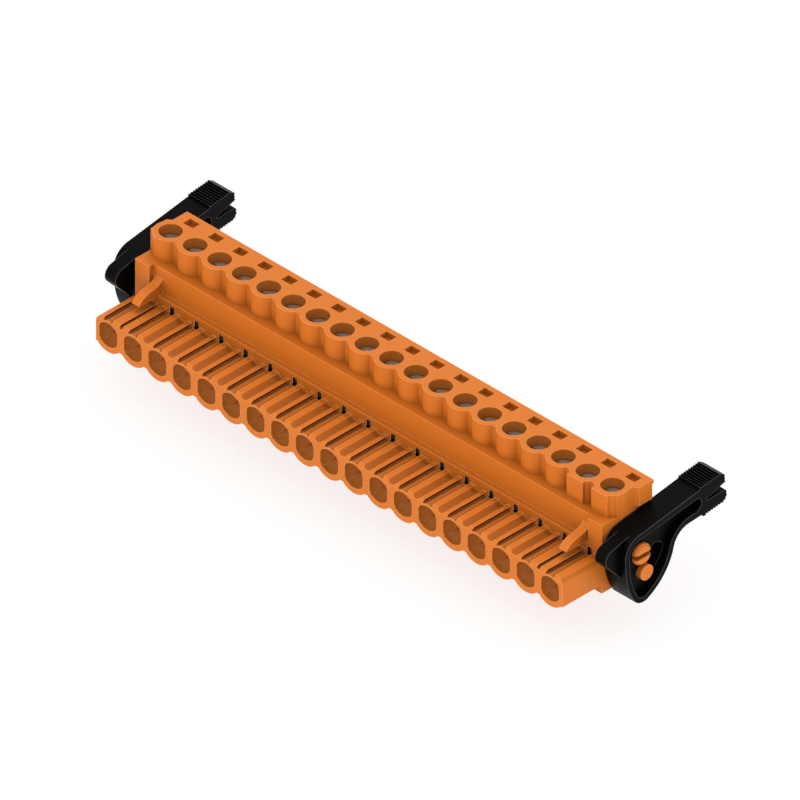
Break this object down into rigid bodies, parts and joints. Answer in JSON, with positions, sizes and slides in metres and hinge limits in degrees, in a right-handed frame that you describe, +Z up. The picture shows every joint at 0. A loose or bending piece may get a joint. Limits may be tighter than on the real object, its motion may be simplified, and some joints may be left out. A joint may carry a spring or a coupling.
{
  "type": "pluggable terminal block",
  "caption": "Long female terminal plug with screw clamps in wells along the top, round mating sockets in front, latch hooks and a release lever at each end.",
  "frame": {"origin": "on the underside of the housing, below the screw axis of the middle pole", "axes": "+X along the row of poles, -Y towards the mating side, +Z up to the screw side"},
  "size_m": [0.106, 0.0294, 0.017],
  "materials": {
    "housing": "moulded orange plastic, slightly satin",
    "lever": "moulded black plastic, satin",
    "contact": "tin-plated copper alloy",
    "yoke": "zinc-plated steel",
    "screw": "zinc-plated steel"
  },
  "bodies": {
    "housing": {"housing": "housing", "contact_01": "contact", "contact_02": "contact", "contact_03": "contact", "contact_04": "contact", "contact_05": "contact", "contact_06": "contact", "contact_07": "contact", "contact_08": "contact", "contact_09": "contact", "contact_10": "contact", "contact_11": "contact", "contact_12": "contact", "contact_13": "contact", "contact_14": "contact", "contact_15": "contact", "contact_16": "contact", "contact_17": "contact", "contact_18": "contact", "contact_19": "contact"},
    "lever_right": {"lever_right": "lever"},
    "lever_left": {"lever_left": "lever"},
    "screw_01": {"screw_01": "screw"},
    "yoke_01": {"yoke_01": "yoke"},
    "screw_02": {"screw_02": "screw"},
    "yoke_02": {"yoke_02": "yoke"},
    "screw_03": {"screw_03": "screw"},
    "yoke_03": {"yoke_03": "yoke"},
    "screw_04": {"screw_04": "screw"},
    "yoke_04": {"yoke_04": "yoke"},
    "screw_05": {"screw_05": "screw"},
    "yoke_05": {"yoke_05": "yoke"},
    "screw_06": {"screw_06": "screw"},
    "yoke_06": {"yoke_06": "yoke"},
    "screw_07": {"screw_07": "screw"},
    "yoke_07": {"yoke_07": "yoke"},
    "screw_08": {"screw_08": "screw"},
    "yoke_08": {"yoke_08": "yoke"},
    "screw_09": {"screw_09": "screw"},
    "yoke_09": {"yoke_09": "yoke"},
    "screw_10": {"screw_10": "screw"},
    "yoke_10": {"yoke_10": "yoke"},
    "screw_11": {"screw_11": "screw"},
    "yoke_11": {"yoke_11": "yoke"},
    "screw_12": {"screw_12": "screw"},
    "yoke_12": {"yoke_12": "yoke"},
    "screw_13": {"screw_13": "screw"},
    "yoke_13": {"yoke_13": "yoke"},
    "screw_14": {"screw_14": "screw"},
    "yoke_14": {"yoke_14": "yoke"},
    "screw_15": {"screw_15": "screw"},
    "yoke_15": {"yoke_15": "yoke"},
    "screw_16": {"screw_16": "screw"},
    "yoke_16": {"yoke_16": "yoke"},
    "screw_17": {"screw_17": "screw"},
    "yoke_17": {"yoke_17": "yoke"},
    "screw_18": {"screw_18": "screw"},
    "yoke_18": {"yoke_18": "yoke"},
    "screw_19": {"screw_19": "screw"},
    "yoke_19": {"yoke_19": "yoke"}
  },
  "joints": [
    {"name": "lever_right_swing", "type": "hinge", "parent": "housing", "child": "lever_right", "pos_m": [0.05072, -0.00055, 0.007], "axis": [-1, 0, 0], "range_deg": [0, 58]},
    {"name": "lever_left_swing", "type": "hinge", "parent": "housing", "child": "lever_left", "pos_m": [-0.05072, -0.00055, 0.007], "axis": [-1, 0, 0], "range_deg": [0, 58]},
    {"name": "screw_01_turn", "type": "hinge", "parent": "housing", "child": "screw_01", "pos_m": [-0.04572, 0, 0.012], "axis": [0, 0, -1], "range_deg": [0, 2161]},
    {"name": "yoke_01_lift", "type": "slide", "parent": "housing", "child": "yoke_01", "axis": [0, 0, 1], "range_m": [0, 0.003]},
    {"name": "screw_02_turn", "type": "hinge", "parent": "housing", "child": "screw_02", "pos_m": [-0.04064, 0, 0.012], "axis": [0, 0, -1], "range_deg": [0, 2161]},
    {"name": "yoke_02_lift", "type": "slide", "parent": "housing", "child": "yoke_02", "axis": [0, 0, 1], "range_m": [0, 0.003]},
    {"name": "screw_03_turn", "type": "hinge", "parent": "housing", "child": "screw_03", "pos_m": [-0.03556, 0, 0.012], "axis": [0, 0, -1], "range_deg": [0, 2161]},
    {"name": "yoke_03_lift", "type": "slide", "parent": "housing", "child": "yoke_03", "axis": [0, 0, 1], "range_m": [0, 0.003]},
    {"name": "screw_04_turn", "type": "hinge", "parent": "housing", "child": "screw_04", "pos_m": [-0.03048, 0, 0.012], "axis": [0, 0, -1], "range_deg": [0, 2161]},
    {"name": "yoke_04_lift", "type": "slide", "parent": "housing", "child": "yoke_04", "axis": [0, 0, 1], "range_m": [0, 0.003]},
    {"name": "screw_05_turn", "type": "hinge", "parent": "housing", "child": "screw_05", "pos_m": [-0.0254, 0, 0.012], "axis": [0, 0, -1], "range_deg": [0, 2161]},
    {"name": "yoke_05_lift", "type": "slide", "parent": "housing", "child": "yoke_05", "axis": [0, 0, 1], "range_m": [0, 0.003]},
    {"name": "screw_06_turn", "type": "hinge", "parent": "housing", "child": "screw_06", "pos_m": [-0.02032, 0, 0.012], "axis": [0, 0, -1], "range_deg": [0, 2161]},
    {"name": "yoke_06_lift", "type": "slide", "parent": "housing", "child": "yoke_06", "axis": [0, 0, 1], "range_m": [0, 0.003]},
    {"name": "screw_07_turn", "type": "hinge", "parent": "housing", "child": "screw_07", "pos_m": [-0.01524, 0, 0.012], "axis": [0, 0, -1], "range_deg": [0, 2161]},
    {"name": "yoke_07_lift", "type": "slide", "parent": "housing", "child": "yoke_07", "axis": [0, 0, 1], "range_m": [0, 0.003]},
    {"name": "screw_08_turn", "type": "hinge", "parent": "housing", "child": "screw_08", "pos_m": [-0.01016, 0, 0.012], "axis": [0, 0, -1], "range_deg": [0, 2161]},
    {"name": "yoke_08_lift", "type": "slide", "parent": "housing", "child": "yoke_08", "axis": [0, 0, 1], "range_m": [0, 0.003]},
    {"name": "screw_09_turn", "type": "hinge", "parent": "housing", "child": "screw_09", "pos_m": [-0.00508, 0, 0.012], "axis": [0, 0, -1], "range_deg": [0, 2161]},
    {"name": "yoke_09_lift", "type": "slide", "parent": "housing", "child": "yoke_09", "axis": [0, 0, 1], "range_m": [0, 0.003]},
    {"name": "screw_10_turn", "type": "hinge", "parent": "housing", "child": "screw_10", "pos_m": [0, 0, 0.012], "axis": [0, 0, -1], "range_deg": [0, 2161]},
    {"name": "yoke_10_lift", "type": "slide", "parent": "housing", "child": "yoke_10", "axis": [0, 0, 1], "range_m": [0, 0.003]},
    {"name": "screw_11_turn", "type": "hinge", "parent": "housing", "child": "screw_11", "pos_m": [0.00508, 0, 0.012], "axis": [0, 0, -1], "range_deg": [0, 2161]},
    {"name": "yoke_11_lift", "type": "slide", "parent": "housing", "child": "yoke_11", "axis": [0, 0, 1], "range_m": [0, 0.003]},
    {"name": "screw_12_turn", "type": "hinge", "parent": "housing", "child": "screw_12", "pos_m": [0.01016, 0, 0.012], "axis": [0, 0, -1], "range_deg": [0, 2161]},
    {"name": "yoke_12_lift", "type": "slide", "parent": "housing", "child": "yoke_12", "axis": [0, 0, 1], "range_m": [0, 0.003]},
    {"name": "screw_13_turn", "type": "hinge", "parent": "housing", "child": "screw_13", "pos_m": [0.01524, 0, 0.012], "axis": [0, 0, -1], "range_deg": [0, 2161]},
    {"name": "yoke_13_lift", "type": "slide", "parent": "housing", "child": "yoke_13", "axis": [0, 0, 1], "range_m": [0, 0.003]},
    {"name": "screw_14_turn", "type": "hinge", "parent": "housing", "child": "screw_14", "pos_m": [0.02032, 0, 0.012], "axis": [0, 0, -1], "range_deg": [0, 2161]},
    {"name": "yoke_14_lift", "type": "slide", "parent": "housing", "child": "yoke_14", "axis": [0, 0, 1], "range_m": [0, 0.003]},
    {"name": "screw_15_turn", "type": "hinge", "parent": "housing", "child": "screw_15", "pos_m": [0.0254, 0, 0.012], "axis": [0, 0, -1], "range_deg": [0, 2161]},
    {"name": "yoke_15_lift", "type": "slide", "parent": "housing", "child": "yoke_15", "axis": [0, 0, 1], "range_m": [0, 0.003]},
    {"name": "screw_16_turn", "type": "hinge", "parent": "housing", "child": "screw_16", "pos_m": [0.03048, 0, 0.012], "axis": [0, 0, -1], "range_deg": [0, 2161]},
    {"name": "yoke_16_lift", "type": "slide", "parent": "housing", "child": "yoke_16", "axis": [0, 0, 1], "range_m": [0, 0.003]},
    {"name": "screw_17_turn", "type": "hinge", "parent": "housing", "child": "screw_17", "pos_m": [0.03556, 0, 0.012], "axis": [0, 0, -1], "range_deg": [0, 2161]},
    {"name": "yoke_17_lift", "type": "slide", "parent": "housing", "child": "yoke_17", "axis": [0, 0, 1], "range_m": [0, 0.003]},
    {"name": "screw_18_turn", "type": "hinge", "parent": "housing", "child": "screw_18", "pos_m": [0.04064, 0, 0.012], "axis": [0, 0, -1], "range_deg": [0, 2161]},
    {"name": "yoke_18_lift", "type": "slide", "parent": "housing", "child": "yoke_18", "axis": [0, 0, 1], "range_m": [0, 0.003]},
    {"name": "screw_19_turn", "type": "hinge", "parent": "housing", "child": "screw_19", "pos_m": [0.04572, 0, 0.012], "axis": [0, 0, -1], "range_deg": [0, 2161]},
    {"name": "yoke_19_lift", "type": "slide", "parent": "housing", "child": "yoke_19", "axis": [0, 0, 1], "range_m": [0, 0.003]}
  ],
  "couplings": [
    {"joint": "screw_01_turn", "follows": "yoke_01_lift", "rad_per_m": 12566},
    {"joint": "screw_02_turn", "follows": "yoke_02_lift", "rad_per_m": 12566},
    {"joint": "screw_03_turn", "follows": "yoke_03_lift", "rad_per_m": 12566},
    {"joint": "screw_04_turn", "follows": "yoke_04_lift", "rad_per_m": 12566},
    {"joint": "screw_05_turn", "follows": "yoke_05_lift", "rad_per_m": 12566},
    {"joint": "screw_06_turn", "follows": "yoke_06_lift", "rad_per_m": 12566},
    {"joint": "screw_07_turn", "follows": "yoke_07_lift", "rad_per_m": 12566},
    {"joint": "screw_08_turn", "follows": "yoke_08_lift", "rad_per_m": 12566},
    {"joint": "screw_09_turn", "follows": "yoke_09_lift", "rad_per_m": 12566},
    {"joint": "screw_10_turn", "follows": "yoke_10_lift", "rad_per_m": 12566},
    {"joint": "screw_11_turn", "follows": "yoke_11_lift", "rad_per_m": 12566},
    {"joint": "screw_12_turn", "follows": "yoke_12_lift", "rad_per_m": 12566},
    {"joint": "screw_13_turn", "follows": "yoke_13_lift", "rad_per_m": 12566},
    {"joint": "screw_14_turn", "follows": "yoke_14_lift", "rad_per_m": 12566},
    {"joint": "screw_15_turn", "follows": "yoke_15_lift", "rad_per_m": 12566},
    {"joint": "screw_16_turn", "follows": "yoke_16_lift", "rad_per_m": 12566},
    {"joint": "screw_17_turn", "follows": "yoke_17_lift", "rad_per_m": 12566},
    {"joint": "screw_18_turn", "follows": "yoke_18_lift", "rad_per_m": 12566},
    {"joint": "screw_19_turn", "follows": "yoke_19_lift", "rad_per_m": 12566}
  ]
}
